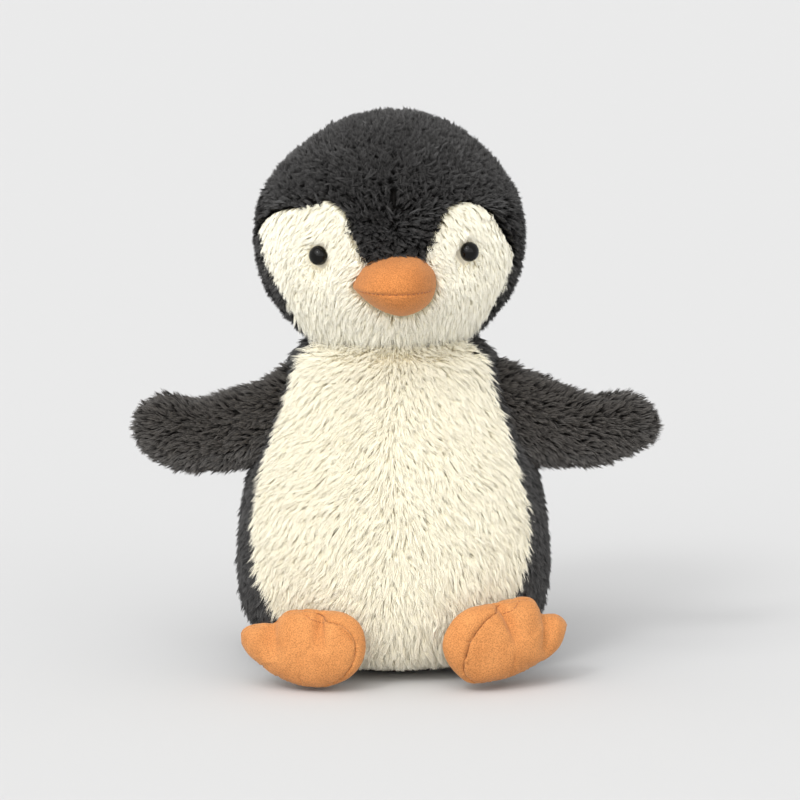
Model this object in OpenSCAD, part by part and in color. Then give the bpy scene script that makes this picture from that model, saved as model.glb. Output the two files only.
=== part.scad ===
// Seated plush penguin: pile-fabric panels sewn over fibre filling, with a
// pellet pouch in the seat. Millimetres, +Z up, front towards -Y.
// Origin: centre of the flat base panel. "left" is the penguin's own left (+X).

/* [Head] */
// Radius of the round head, over the pile
head_r = 55.4; // [50:0.1:58]
// Height of the head's centre above the seat
head_z = 174.6; // [172:0.2:178]
// Height at which the head ends in the neck seam
neck_z = 137; // [135:0.5:139]
// Largest forward nod, in degrees, that the gap at the neck leaves room for
nod_deg = 20; // [10:1:20]

/* [Torso] */
// Thickness of a pile panel, backing and pile together
pile_t = 6; // [4:0.5:6]
// Half the angle round the body that the white belly covers, in degrees
belly_half_deg = 67; // [55:1:75]
// Radius of the flat base panel
base_r = 30; // [26:0.5:32]
// Thickness of the base panel
base_t = 3; // [2:0.5:4]

/* [Seat weight] */
// Height of the pellet pouch
pouch_h = 26; // [16:1:30]
// Thickness of the pouch cloth
pouch_t = 1; // [0.6:0.1:1.5]

/* [Wings] */
// Radius of the wing's tip
wing_tip_r = 15.2; // [12:0.2:16]
// Distance from the shoulder out to the centre of the wing's tip
wing_reach = 45.6; // [36:0.2:48]
// Drop of the wing's tip below the shoulder
wing_drop = 12; // [6:0.5:14]
// Thickness of the wing as a share of its height
wing_flat = 0.62; // [0.5:0.02:0.66]
// Thickness of a wing panel
wing_t = 3.5; // [3:0.5:4]

/* [Feet] */
// Distance of each heel from the middle of the body
foot_x = 34; // [31:0.5:38]
// Distance from the body's axis forward to each heel
foot_y = 62.4; // [61:0.2:66]
// Turn of the sole outward about the vertical, in degrees
foot_yaw = 24; // [10:1:30]
// Lean of the toes back towards the belly, in degrees
foot_lean = 3; // [0:1:5]
// Thickness of the foot as a share of its height
foot_flat = 0.7; // [0.5:0.02:0.72]
// Thickness of the suede fabric of feet and beak
suede_t = 1.4; // [1:0.1:2]

/* [Face] */
// Diameter of each safety eye
eye_d = 8; // [6:0.5:10]
// Distance between the centres of the eyes
eye_gap = 57.6; // [52:0.2:66]
// Width of the beak
beak_w = 34; // [30:0.5:38]
// Height of the beak
beak_h = 27.5; // [22:0.5:30]
// Distance that the beak stands out from the face
beak_l = 21; // [18:0.5:26]

/* [Hidden] */
$fn = 96;
hull_fn = 20;
foot_fn = 16;
gap = 0.3;
snug = 0.1;
far = 200;
side_z = [0, 2.5, 6.5, 13, 23, 34, 48, 66, 84, 104, 122, 137];
side_r = [34, 43, 50, 56, 61, 63.6, 64.2, 62.2, 57.6, 50.3, 43.5, 38.5];
side_steps = 3;

// Centre of the nod: a little under the head's centre, where the stuffing gives
nod_drop = 12;
nod_z = head_z - nod_drop;
// Room between head and torso for the head's shift at its largest nod
rim_gap = 0.75 * nod_drop * sin(nod_deg) + 0.8;
neck_seam_r = 0.9;
neck_ring = sqrt(pow(head_r - neck_seam_r, 2) - pow(head_z - neck_z, 2));
neck_hole_r = 32;
neck_top_z = neck_z - 12;

// The neck's filling: a ball in the head, a cone below it and a plug in the torso
neck_ball_r = 28;
neck_plug_r = 24;
neck_plug_z = 100;
neck_cone_deg = 30;
head_cone_deg = 51;

// Shoulder seam, a straight line up the side of the torso
shoulder_lo = [58.8, -8, 84];
shoulder_hi = [40.6, -8, 134];
shoulder_mid = (shoulder_lo + shoulder_hi) / 2;
shoulder_lean = atan2(shoulder_lo.x - shoulder_hi.x, shoulder_hi.z - shoulder_lo.z);
seam_l = 46;
wing_seam_r = 0.8;

// Each ball of the wing: distance out from the shoulder, height above it, radius
wing_balls = [[12.5, -0.5, 7], [10, 8, 6], [28.5, -9.5, 15], [wing_reach, -wing_drop, wing_tip_r]];

// Each ball of the foot: distance outward, height above the heel's underside, radius
heel_in = [-8, 12.5, 12.5];
heel_out = [6, 12, 12];
toe_in = [-8, 19.5, 12.2];
toe_mid = [9, 22.5, 9.5];
toe_out = [15, 15, 9];
toe_tip = [26, 19.5, 4.5];
toes = [[heel_in, heel_out, toe_in], [heel_in, heel_out, toe_mid], [heel_out, toe_out, toe_tip]];
foot_base = 0.2;
valley_x = 1.6;

// Eyes: heights from the head's centre, depths from the head's surface
eye_z = 0;
eye_azimuth = asin(eye_gap / 2 / (head_r - 3));
eye_sink = 3.2;
post_r = 1.5;
post_l = 14;
washer_r = 6;
washer_t = 1.6;
washer_gap = 0.8;
washer_pocket_l = 14;

// Beak: heights from the head's centre, the seam's from the beak's middle
beak_z = -11.2;
beak_seam = -1.8;
beak_sink = 4;
beak_base_flat = 0.5;
beak_tip_r = 10.5;

thread = 0.6;
beak_stitch_l = 2.4;
beak_stitch_pitch = 3.6;
beak_stitch_end = 14.6;
toe_stitch_l = 1.5;
toe_stitch_pitch = 2.4;
toe_stitch_from = 19.5;
toe_stitch_to = 27;

label_w = 22;
label_h = 18;
label_t = 1.4;
label_slot = 0.6;
label_z = 30;
label_turn = -11;

// ---- Curves ----

// Point at share t between p1 and p2 on a Catmull-Rom curve
function spline(p0, p1, p2, p3, t) =
    0.5 * (2 * p1 + (p2 - p0) * t + (2 * p0 - 5 * p1 + 4 * p2 - p3) * t * t
        + (3 * p1 - p0 - 3 * p2 + p3) * t * t * t);

// A smooth line through the points of a list, its ends included
function smooth_line(p, steps) = let (n = len(p)) concat(
    [for (i = [0:n - 2], k = [0:steps - 1])
        spline(p[max(i - 1, 0)], p[i], p[i + 1], p[min(i + 2, n - 1)], k / steps)],
    [p[n - 1]]);

side_line = smooth_line([for (i = [0:len(side_z) - 1]) [side_r[i], side_z[i]]], side_steps);

// ---- Head ----

// The face panel's outline as seen from the front, for one side of the head
face_line = smooth_line([
    [13, -1], [16.5, 4], [22, 14.5], [28.5, 20.3], [40, 17], [50, 5],
    [51, -7], [43, -27], [35, -38]
], 3);

module at_head() { translate([0, 0, head_z]) children(); }

module head_ball(inset) {
    difference() {
        at_head() sphere(r = head_r - inset);
        translate([-far / 2, -far / 2, neck_z - far]) cube(far);
    }
}

module head_shell() {
    difference() {
        head_ball(0);
        at_head() sphere(r = head_r - pile_t);
        translate([0, 0, neck_z]) rotate_extrude()
            translate([neck_ring, 0]) circle(r = neck_seam_r + gap);
    }
}

// Everything that the face panel of the left side is cut from
module face_prism() {
    at_head() rotate([90, 0, 0]) linear_extrude(height = far / 2)
        polygon(concat([[0, -far / 4], [0, -6]], face_line, [[35, -far / 4]]));
}

module left_half() { translate([0, -far / 2, 0]) cube([far, far, 2 * far]); }

module at_eye() {
    at_head() translate([0, 0, eye_z]) rotate([0, 0, eye_azimuth]) rotate([90, 0, 0]) children();
}

module at_each_side(side) { mirror([side < 0 ? 1 : 0, 0, 0]) children(); }

module face(side) {
    color("#f5efdc") at_each_side(side) difference() {
        intersection() {
            head_shell();
            face_prism();
        }
        at_eye() cylinder(r = post_r + snug, h = far);
        at_eye() translate([0, 0, head_r - eye_sink - 2 * snug]) cylinder(r = eye_d / 2 + 2 * snug, h = far);
    }
}

module crown(side) {
    color("#343230") at_each_side(side) difference() {
        intersection() {
            head_shell();
            left_half();
        }
        face_prism();
    }
}

module head_filling() {
    color("#f8f8f4") difference() {
        head_ball(pile_t + gap);
        for (side = [-1, 1]) at_each_side(side) at_eye()
            translate([0, 0, head_r - pile_t - washer_pocket_l]) cylinder(r = washer_r + gap, h = far);
        translate([0, 0, nod_z]) sphere(r = neck_ball_r + gap);
        neck_cone(head_cone_deg, nod_z - neck_z + 1);
    }
}

// A domed safety eye on a post, pushed through the face panel
module eye(side) {
    color("#16130f") at_each_side(side) at_eye() {
        translate([0, 0, head_r - eye_sink]) intersection() {
            sphere(r = eye_d / 2);
            translate([0, 0, eye_d / 2]) cube(eye_d, center = true);
        }
        translate([0, 0, head_r - eye_sink - post_l]) cylinder(r = post_r, h = post_l);
    }
}

module eye_washer(side) {
    color("#e8e8e6") at_each_side(side) at_eye()
        translate([0, 0, head_r - pile_t - washer_t - washer_gap]) difference() {
            cylinder(r = washer_r, h = washer_t);
            translate([0, 0, -1]) cylinder(r = post_r + snug, h = washer_t + 2);
        }
}

// ---- Beak ----

module beak_form(inset) {
    at_head() translate([0, beak_sink - head_r, beak_z]) hull() {
        scale([1, beak_base_flat, beak_h / beak_w]) sphere(r = beak_w / 2 - inset, $fn = hull_fn);
        translate([0, beak_tip_r - beak_l, -1]) sphere(r = beak_tip_r - inset, $fn = hull_fn);
    }
}

module off_the_head(clear) { at_head() sphere(r = head_r + clear); }

module beak_skin() {
    difference() {
        beak_form(0);
        beak_form(suede_t);
        off_the_head(snug);
    }
}

module above_beak_seam() {
    translate([-far / 2, -far / 2, head_z + beak_z + beak_seam]) cube(far);
}

module beak_upper() {
    color("#e99e5b") intersection() {
        beak_skin();
        above_beak_seam();
    }
}

module beak_lower() {
    color("#e99e5b") difference() {
        beak_skin();
        above_beak_seam();
    }
}

module beak_filling() {
    color("#f8f8f4") difference() {
        beak_form(suede_t + snug);
        off_the_head(snug);
    }
}

// Stitches that lie on the beak along the seam between its two panels
module beak_stitching() {
    color("#a85a24") intersection() {
        difference() {
            beak_form(-thread);
            beak_form(0);
            off_the_head(gap);
        }
        for (x = [-beak_stitch_end:beak_stitch_pitch:beak_stitch_end])
            translate([x, -far, head_z + beak_z + beak_seam - thread / 2])
                cube([beak_stitch_l, far, thread]);
    }
}

// ---- Neck ----

module neck_seam() {
    color("#efe8d2") translate([0, 0, neck_z]) rotate_extrude()
        translate([neck_ring, 0]) circle(r = neck_seam_r);
}

// A cone that opens downward from the centre of the nod
module neck_cone(half_deg, depth) {
    translate([0, 0, nod_z - depth]) cylinder(r1 = depth * tan(half_deg), r2 = 0, h = depth);
}

// The filling that runs through the neck: the head rocks on it, and it turns in the torso
module neck_filling() {
    cone_l = neck_plug_r / tan(neck_cone_deg);
    color("#f8f8f4") {
        translate([0, 0, nod_z]) sphere(r = neck_ball_r);
        neck_cone(neck_cone_deg, cone_l);
        translate([0, 0, neck_plug_z]) cylinder(r = neck_plug_r, h = nod_z - cone_l - neck_plug_z);
    }
}

// ---- Torso ----

// Outline of the round torso, moved in by inset; it runs on below the seat
module torso_outline(inset) {
    intersection() {
        offset(delta = -inset) polygon(concat(
            [[-side_r[0], -far], [side_r[0], -far]], side_line,
            [for (i = [len(side_line) - 1:-1:0]) [-side_line[i].x, side_line[i].y]]));
        square([far, far]);
    }
}

// The dish that the head and neck rock in
module head_dish() { at_head() sphere(r = head_r + rim_gap); }

module torso_shell(from, turn) {
    difference() {
        rotate([0, 0, from]) rotate_extrude(angle = turn) difference() {
            torso_outline(0);
            torso_outline(pile_t);
            square([base_r + snug, base_t]);
            translate([0, neck_top_z]) square([neck_hole_r, far]);
        }
        head_dish();
    }
}

module belly(side) {
    color("#f5efdc") torso_shell(side > 0 ? -90 : -90 - belly_half_deg, belly_half_deg);
}

module back(side) {
    color("#343230") torso_shell(side > 0 ? belly_half_deg - 90 : 90, 180 - belly_half_deg);
}

module base_panel() { color("#2c2a28") cylinder(r = base_r, h = base_t); }

// A band of the torso's inside, from one height to another
module seat_band(inset, from, to) {
    rotate_extrude() intersection() {
        torso_outline(inset);
        translate([0, from]) square([far, to - from]);
    }
}

module pouch_form(inset) {
    seat_band(pile_t + 2 * gap + inset, base_t + gap + inset, base_t + gap + pouch_h - inset);
}

module pellet_pouch() {
    color("#e7e2d6") difference() {
        pouch_form(0);
        pouch_form(pouch_t);
    }
}

module pellets() { color("#d9dde0") pouch_form(pouch_t + snug); }

module body_filling() {
    color("#f8f8f4") difference() {
        seat_band(pile_t + gap, base_t + pouch_h + 2 * gap, neck_z);
        head_dish();
        translate([0, 0, neck_plug_z - gap]) cylinder(r = neck_plug_r + gap, h = far);
    }
}

// A blank folded cloth tab, caught in the seam down the back
module care_label() {
    color("#f2efe8") rotate([0, 0, label_turn])
        translate([-label_w / 2, side_r[6] + 1, label_z - label_h / 2]) difference() {
            cube([label_w, label_t, label_h]);
            translate([-1, (label_t - label_slot) / 2, -1]) cube([label_w, label_slot, label_h + 2]);
        }
}

// ---- Wings ----

// Local frame at the middle of the shoulder seam: X outward, Z up
module at_shoulder(side) { at_each_side(side) translate(shoulder_mid) children(); }

module wing_seam(side) {
    color("#26221f") at_shoulder(side) rotate([0, -shoulder_lean, 0])
        translate([2 * wing_seam_r, 0, 0]) cylinder(r = wing_seam_r, h = seam_l, center = true);
}

module wing_ball(ball, inset) {
    translate([ball[0], 0, ball[1]]) scale([1, wing_flat, 1])
        sphere(r = ball[2] - inset, $fn = hull_fn);
}

module wing_form(inset) { hull() for (ball = wing_balls) wing_ball(ball, inset); }

module wing_skin() {
    difference() {
        wing_form(0);
        wing_form(wing_t);
    }
}

module in_front() { translate([-far / 2, -far, -far / 2]) cube(far); }

module wing_front(side) {
    color("#343230") at_shoulder(side) intersection() {
        wing_skin();
        in_front();
    }
}

module wing_back(side) {
    color("#343230") at_shoulder(side) difference() {
        wing_skin();
        in_front();
    }
}

module wing_filling(side) { color("#f8f8f4") at_shoulder(side) wing_form(wing_t + gap); }

// ---- Feet ----

// Local frame of a foot: X outward, Z from heel to toes, -Y out of the sole
module at_foot(side) {
    at_each_side(side) translate([foot_x, -foot_y, foot_base])
        rotate([0, 0, foot_yaw]) rotate([-foot_lean, 0, 0]) children();
}

module foot_ball(ball, inset) {
    translate([ball[0], 0, ball[1]]) scale([1, foot_flat, 1])
        sphere(r = ball[2] - inset, $fn = foot_fn);
}

module foot_form(inset) {
    for (toe = toes) hull() for (ball = toe) foot_ball(ball, inset);
}

module foot_skin() {
    difference() {
        foot_form(0);
        foot_form(suede_t);
    }
}

module foot_sole(side) {
    color("#e99e5b") at_foot(side) intersection() {
        foot_skin();
        in_front();
    }
}

module foot_upper(side) {
    color("#e99e5b") at_foot(side) difference() {
        foot_skin();
        in_front();
    }
}

module foot_filling(side) { color("#f8f8f4") at_foot(side) foot_form(suede_t + snug); }

// A short row of stitches that draws the sole in between the toes
module toe_stitching(side) {
    color("#a85a24") at_foot(side) intersection() {
        difference() {
            foot_form(-thread);
            foot_form(0);
        }
        for (z = [toe_stitch_from:toe_stitch_pitch:toe_stitch_to])
            translate([valley_x, -far, z]) cube([thread, far, toe_stitch_l]);
    }
}

// ---- Assembly ----

face(1);  // face_left
face(-1);  // face_right
crown(1);  // crown_left
crown(-1);  // crown_right
head_filling();
eye(1);  // eye_left
eye(-1);  // eye_right
eye_washer(1);  // eye_washer_left
eye_washer(-1);  // eye_washer_right
beak_upper();
beak_lower();
beak_filling();
beak_stitching();
neck_seam();
neck_filling();
belly(1);  // belly_left
belly(-1);  // belly_right
back(1);  // back_left
back(-1);  // back_right
base_panel();
body_filling();
pellet_pouch();
pellets();
care_label();
wing_seam(1);  // wing_seam_left
wing_seam(-1);  // wing_seam_right
wing_front(1);  // wing_front_left
wing_front(-1);  // wing_front_right
wing_back(1);  // wing_back_left
wing_back(-1);  // wing_back_right
wing_filling(1);  // wing_filling_left
wing_filling(-1);  // wing_filling_right
foot_upper(1);  // foot_upper_left
foot_upper(-1);  // foot_upper_right
foot_sole(1);  // foot_sole_left
foot_sole(-1);  // foot_sole_right
foot_filling(1);  // foot_filling_left
foot_filling(-1);  // foot_filling_right
toe_stitching(1);  // toe_stitching_left
toe_stitching(-1);  // toe_stitching_right
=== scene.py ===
"""Looks of the seated plush penguin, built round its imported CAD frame. Metres, +Z up, front towards -Y."""

import math

import bmesh
import bpy
import numpy as np
from mathutils import Matrix, Vector
from mathutils.bvhtree import BVHTree
from mathutils.kdtree import KDTree


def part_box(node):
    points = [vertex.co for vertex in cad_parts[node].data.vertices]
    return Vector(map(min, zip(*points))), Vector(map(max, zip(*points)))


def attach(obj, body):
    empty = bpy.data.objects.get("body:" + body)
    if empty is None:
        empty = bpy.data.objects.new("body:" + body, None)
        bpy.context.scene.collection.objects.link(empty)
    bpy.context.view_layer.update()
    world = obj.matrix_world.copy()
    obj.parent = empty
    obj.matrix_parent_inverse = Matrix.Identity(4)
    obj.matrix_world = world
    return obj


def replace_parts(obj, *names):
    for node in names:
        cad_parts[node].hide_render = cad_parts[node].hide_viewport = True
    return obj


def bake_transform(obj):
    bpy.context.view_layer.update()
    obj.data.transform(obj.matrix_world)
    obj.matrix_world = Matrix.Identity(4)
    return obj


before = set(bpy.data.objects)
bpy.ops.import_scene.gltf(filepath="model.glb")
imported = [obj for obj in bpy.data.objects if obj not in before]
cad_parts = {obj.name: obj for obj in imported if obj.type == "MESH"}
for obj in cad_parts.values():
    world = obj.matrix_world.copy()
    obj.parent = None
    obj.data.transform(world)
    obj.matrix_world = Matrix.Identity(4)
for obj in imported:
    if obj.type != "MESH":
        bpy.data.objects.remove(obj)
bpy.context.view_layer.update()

# ---- Measures ----

MM = 0.001
SIDES = (("left", 1), ("right", -1))
crown_lo, crown_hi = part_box("crown_left")
HEAD_R = crown_hi.x
HEAD_C = np.array([0, 0, crown_hi.z - HEAD_R])
NECK_Z = crown_lo.z
TORSO_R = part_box("back_left")[1].x
FLOOR_CLEAR = 0.3 * MM
HEAD_SHIFT = np.array([-1.6 * MM, 0, 0])

# Depth of the backing cloth below the tips of the pile
PILE = 3.0 * MM
BACKING = 1.0 * MM

# The head's radius against a ball's, in mm, by elevation in degrees
HEAD_SHAPE = np.array([
    [-90, -6.5], [-50, -6.3], [-45, -5.6], [-36, -4.8], [-29, -3.6], [-22, -2.4], [-14, -1.7], [-5, -1.2],
    [5, -0.7], [14, -0.3], [20, 0.1], [27, -0.3], [35, -1.1], [45, -1.8], [55, -2.0], [65, -1.8], [90, -1.6]])

# The torso's side, height and radius in mm
TORSO_SIDE = [
    [0, 33], [2.5, 43], [6.5, 50.8], [13, 57.2], [23, 61.8], [34, 64], [48, 64.3], [66, 62.4], [84, 58],
    [104, 50.8], [120, 45.2], [129, 41], [134, 36.8], [137.5, 33.4]]

# The angle round the torso to which the belly panel reaches, by height
BELLY_EDGE = np.array([[0, 34], [10, 39], [20, 45], [30, 53], [40, 60], [52, 64], [70, 66.5], [137, 67]])

# The face panels as seen from the front, across and up from the head's centre, in mm
FACE = {
    1: [[0, -6], [10, -6], [14, -2.2], [14.8, 1], [16.8, 5.4], [18.8, 8.1], [21.2, 12.7], [23.3, 17],
        [26.9, 19.1], [31.9, 20.8], [36.8, 18.8], [40.5, 15.3], [44.2, 10.5], [47.2, 5.3], [50.6, -0.6],
        [52.4, -7], [50.6, -14], [48, -20.5], [44.9, -26.5], [42.6, -31], [40.2, -35.5], [37.2, -39.5],
        [33, -43.5], [28.5, -46.5], [18, -60], [0, -60]],
    -1: [[0, -6], [8, -6], [11, -4.6], [12.6, -2.2], [14.2, 1.8], [15.8, 5.4], [17.4, 9.7], [19.9, 13.6],
         [22.7, 17], [25.6, 19.6], [28.4, 20.6], [31.7, 19.6], [35.8, 18.1], [39.9, 16.2], [44.1, 14.9],
         [48.4, 12.8], [51.8, 10.2], [54.6, 5.5], [54.1, -1.8], [53.3, -6.5], [51.6, -11.6], [49.5, -16.3],
         [46.9, -20.6], [44.6, -25.4], [42.9, -30], [40.6, -35], [37.4, -39.5], [33, -43.5], [28.5, -46.5],
         [18, -60], [0, -60]],
}


def smooth(points, steps, closed=False):
    """A Catmull-Rom curve through the points."""
    p = np.array(points, float)
    n = len(p)
    spans = n if closed else n - 1
    t = np.arange(steps)[:, None] / steps
    out = []
    for i in range(spans):
        a, b, c, d = (p[j % n] if closed else p[min(max(j, 0), n - 1)] for j in (i - 1, i, i + 1, i + 2))
        square, cube = 2 * a - 5 * b + 4 * c - d, 3 * b - a - 3 * c + d
        out.append(0.5 * (2 * b + (c - a) * t + square * t**2 + cube * t**3))
    if not closed:
        out.append(p[-1:])
    return np.concatenate(out)


def unit(v):
    """Vectors scaled to length 1."""
    return v / np.maximum(np.linalg.norm(v, axis=-1, keepdims=True), 1e-12)


def full_turn(count):
    """Angles spread evenly over one turn."""
    return np.linspace(0, 2 * math.pi, count, endpoint=False)


def drift(points, size, seed):
    """Smooth noise, about -1 to 1, that changes over the given size."""
    r = np.random.default_rng(seed)
    total = np.zeros(len(points))
    for _ in range(6):
        d = unit(r.normal(size=3)) * 2 * math.pi / (size * r.uniform(0.7, 1.6))
        total += np.sin(points @ d + r.uniform(0, 2 * math.pi))
    return total / 2.4


def inside(polygon, x, y):
    """Which points lie in a polygon."""
    hit = np.zeros(len(x), bool)
    p = np.array(polygon)
    for (x0, y0), (x1, y1) in zip(p, np.roll(p, -1, 0)):
        if y0 != y1:
            hit ^= ((y0 > y) != (y1 > y)) & (x < (x1 - x0) * (y - y0) / (y1 - y0) + x0)
    return hit


side_curve = smooth(TORSO_SIDE, 6) * MM * (TORSO_R / 0.0642)


def torso_radius(z):
    return np.interp(z, side_curve[:, 0], side_curve[:, 1])


def torso_slope(z):
    return (torso_radius(z + 0.6 * MM) - torso_radius(z - 0.6 * MM)) / (1.2 * MM)


def head_radius(d):
    """The head's radius over the pile, in the unit directions d."""
    elevation = np.degrees(np.arcsin(np.clip(d[:, 2], -1, 1)))
    return HEAD_R + np.interp(elevation, HEAD_SHAPE[:, 0], HEAD_SHAPE[:, 1]) * MM


def face_side(points):
    """Which points near the head's surface belong to a face panel."""
    d = unit(points - HEAD_C) * HEAD_R / MM
    across, up = np.abs(d[:, 0]), d[:, 2]
    hit = np.zeros(len(points), bool)
    for side, outline in FACE.items():
        mine = points[:, 0] * side >= 0
        curve = np.concatenate([smooth(outline[:-2], 4), outline[-2:]])
        hit |= mine & inside(curve, across, up)
    return hit & (points[:, 1] < 0)


def belly_edge(x, z):
    """Half the belly's angle round the torso, in radians; the two sides aren't quite alike."""
    return np.radians(np.interp(z / MM, BELLY_EDGE[:, 0], BELLY_EDGE[:, 1]) + np.where(x > 0, -2.5, 2.5))


def in_belly(points):
    angle = np.abs(np.arctan2(points[:, 0], -points[:, 1]))
    return angle < belly_edge(points[:, 0], points[:, 2])


# ---- Meshes ----

def add_object(name, mesh):
    obj = bpy.data.objects.new(name, mesh)
    bpy.context.scene.collection.objects.link(obj)
    return obj


def mesh_object(name, points, faces):
    """An object from points and faces, without the points that no face uses."""
    used = sorted({i for f in faces for i in f})
    place = {old: new for new, old in enumerate(used)}
    mesh = bpy.data.meshes.new(name)
    mesh.from_pydata([tuple(points[i]) for i in used], [], [[place[i] for i in f] for f in faces])
    mesh.polygons.foreach_set("use_smooth", [True] * len(mesh.polygons))
    mesh.update()
    return add_object(name, mesh)


def points_of(obj, what="co"):
    """A mesh's points, or their normals where what is "normal"."""
    values = np.zeros(len(obj.data.vertices) * 3)
    obj.data.vertices.foreach_get(what, values)
    return values.reshape(-1, 3)


def set_points(obj, points):
    obj.data.vertices.foreach_set("co", np.ascontiguousarray(points, dtype=np.float32).ravel())
    obj.data.update()


def apply_modifiers(obj):
    graph = bpy.context.evaluated_depsgraph_get()
    made = bpy.data.meshes.new_from_object(obj.evaluated_get(graph))
    obj.modifiers.clear()
    obj.data = made
    obj.data.polygons.foreach_set("use_smooth", [True] * len(made.polygons))


def thicken(obj, thickness, way=-1):
    """Gives an open sheet its thickness, inward, or outward where way is 1."""
    solid = obj.modifiers.new("thickness", "SOLIDIFY")
    solid.thickness = thickness
    solid.offset = way
    apply_modifiers(obj)


def grid_faces(rows, cols, closed=True):
    """Quads of a grid of rows by cols points. A closed one joins each row's ends."""
    last = cols if closed else cols - 1
    return [
        (r * cols + c, r * cols + (c + 1) % cols, (r + 1) * cols + (c + 1) % cols, (r + 1) * cols + c)
        for r in range(rows - 1) for c in range(last)]


def pick(items, chosen):
    return [item for item, yes in zip(items, chosen) if yes]


def tree_of(obj):
    """A mesh ready for casting rays at."""
    return BVHTree.FromObject(obj, bpy.context.evaluated_depsgraph_get())


def join_points(obj, distance=1e-5):
    """Merges points that lie together."""
    bm = bmesh.new()
    bm.from_mesh(obj.data)
    bmesh.ops.remove_doubles(bm, verts=bm.verts, dist=distance)
    bmesh.ops.recalc_face_normals(bm, faces=bm.faces)
    bm.to_mesh(obj.data)
    bm.free()


# ---- Materials ----

class Pattern:
    """A material being built from nodes."""

    def __init__(self, name, roughness, **values):
        self.material = bpy.data.materials.new(name)
        self.material.use_nodes = True
        self.tree = self.material.node_tree
        self.shader = self.tree.nodes["Principled BSDF"]
        self.shader.inputs["Roughness"].default_value = roughness
        for key, value in values.items():
            self.shader.inputs[key.replace("_", " ")].default_value = value
        self.place = self.add("ShaderNodeTexCoord").outputs["Object"]

    def add(self, kind, settings=None, **inputs):
        node = self.tree.nodes.new(kind)
        for key, value in (settings or {}).items():
            setattr(node, key, value)
        for key, value in inputs.items():
            socket = node.inputs[key.replace("_", " ")]
            if isinstance(value, bpy.types.NodeSocket):
                self.tree.links.new(value, socket)
            else:
                socket.default_value = value
        return node

    def noise(self, scale, detail):
        return self.add("ShaderNodeTexNoise", Vector=self.place, Scale=scale, Detail=detail).outputs["Fac"]

    def wave(self, direction, scale, distortion, detail=2.0):
        """Bands, as of threads."""
        return self.add("ShaderNodeTexWave", {"wave_type": "BANDS", "bands_direction": direction},
                        Vector=self.place, Scale=scale, Distortion=distortion, Detail=detail).outputs["Fac"]

    def ramp(self, value, stops):
        """Colours at places along a value."""
        node = self.add("ShaderNodeValToRGB", Fac=value)
        line = node.color_ramp
        while len(line.elements) < len(stops):
            line.elements.new(0.5)
        for element, (at, colour) in zip(line.elements, stops):
            element.position = at
            element.color = (*colour, 1)
        return node.outputs["Color"]

    def tint(self, a, b):
        """One colour multiplied by another."""
        node = self.add("ShaderNodeMix", {"data_type": "RGBA", "blend_type": "MULTIPLY"})
        node.inputs[0].default_value = 1.0
        self.tree.links.new(a, node.inputs[6])
        self.tree.links.new(b, node.inputs[7])
        return node.outputs[2]

    def product(self, a, b):
        """One number multiplied by another."""
        node = self.add("ShaderNodeMath", {"operation": "MULTIPLY"})
        self.tree.links.new(a, node.inputs[0])
        self.tree.links.new(b, node.inputs[1])
        return node.outputs[0]

    def colour(self, socket):
        self.tree.links.new(socket, self.shader.inputs["Base Color"])

    def bump(self, height, distance, strength):
        node = self.add("ShaderNodeBump", Height=height, Distance=distance, Strength=strength)
        self.tree.links.new(node.outputs["Normal"], self.shader.inputs["Normal"])

    def done(self, colour, height, distance, strength):
        """Links the colour and the bumps, and gives the material."""
        self.colour(colour)
        self.bump(height, distance, strength)
        return self.material


def shade(colour, factor):
    return tuple(min(1.0, c * factor) for c in colour)


def hair_material(name, root, middle, tip, spread, roughness, specular):
    """Pile: the strand runs along V, and each strand has its own place along U."""
    p = Pattern(name, roughness, Specular_IOR_Level=specular)
    where = p.add("ShaderNodeUVMap", {"uv_map": "OFBake"}).outputs["UV"]
    split = p.add("ShaderNodeSeparateXYZ", Vector=where)
    # Root to tip: the darker, yellower roots are painted shade for the gaps between strands, and the lighter
    # tips are painted highlight, strongest on the black pile.
    along = p.ramp(split.outputs["Y"], [(0.0, root), (0.45, middle), (1.0, tip)])
    lock = p.add("ShaderNodeTexNoise", {"noise_dimensions": "1D"}, W=split.outputs["X"], Scale=45.0,
                 Detail=3.0)
    tone = p.ramp(lock.outputs["Fac"], [(0.3, shade((1, 1, 1), 1 - spread)), (0.7, (1, 1, 1))])
    p.colour(p.tint(along, tone))
    return p.material


def suede_material(name, colour):
    """Short-napped cloth: fine grain, lighter and darker strokes, a soft sheen."""
    p = Pattern(name, 0.92, Specular_IOR_Level=0.2, Sheen_Weight=0.25, Sheen_Roughness=0.45)
    p.shader.inputs["Sheen Tint"].default_value = (1, 0.75, 0.5, 1)
    grain = p.ramp(p.noise(2200, 3), [(0.36, shade(colour, 0.66)), (0.58, shade(colour, 1.06))])
    strokes = p.ramp(p.noise(110, 4), [(0.3, (0.88, 0.84, 0.80)), (0.65, (1, 1, 1))])
    return p.done(p.tint(grain, strokes), p.noise(1900, 4), 0.00012, 0.7)


def knit_material(name, colour):
    """The knitted backing of the pile."""
    p = Pattern(name, 0.95, Specular_IOR_Level=0.1)
    wave = p.wave("DIAGONAL", 160.0, 2.0)
    return p.done(p.ramp(wave, [(0.2, shade(colour, 0.75)), (0.8, colour)]), wave, 0.0002, 0.6)


def fibre_material(name, colour):
    """Loose filling."""
    p = Pattern(name, 0.9, Sheen_Weight=0.3)
    return p.done(p.ramp(p.noise(320, 6), [(0.3, shade(colour, 0.8)), (0.7, colour)]),
                  p.noise(700, 6), 0.0006, 0.8)


def weave_material(name, colour, pitch):
    """Plain woven cloth, with threads that far apart."""
    p = Pattern(name, 0.85, Specular_IOR_Level=0.25)
    cloth = p.product(*(p.wave(way, 1 / pitch / 20, 0.4) for way in ("X", "Z")))
    return p.done(p.ramp(cloth, [(0.0, shade(colour, 0.78)), (0.6, colour)]), cloth, 0.0002, 0.6)


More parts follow.
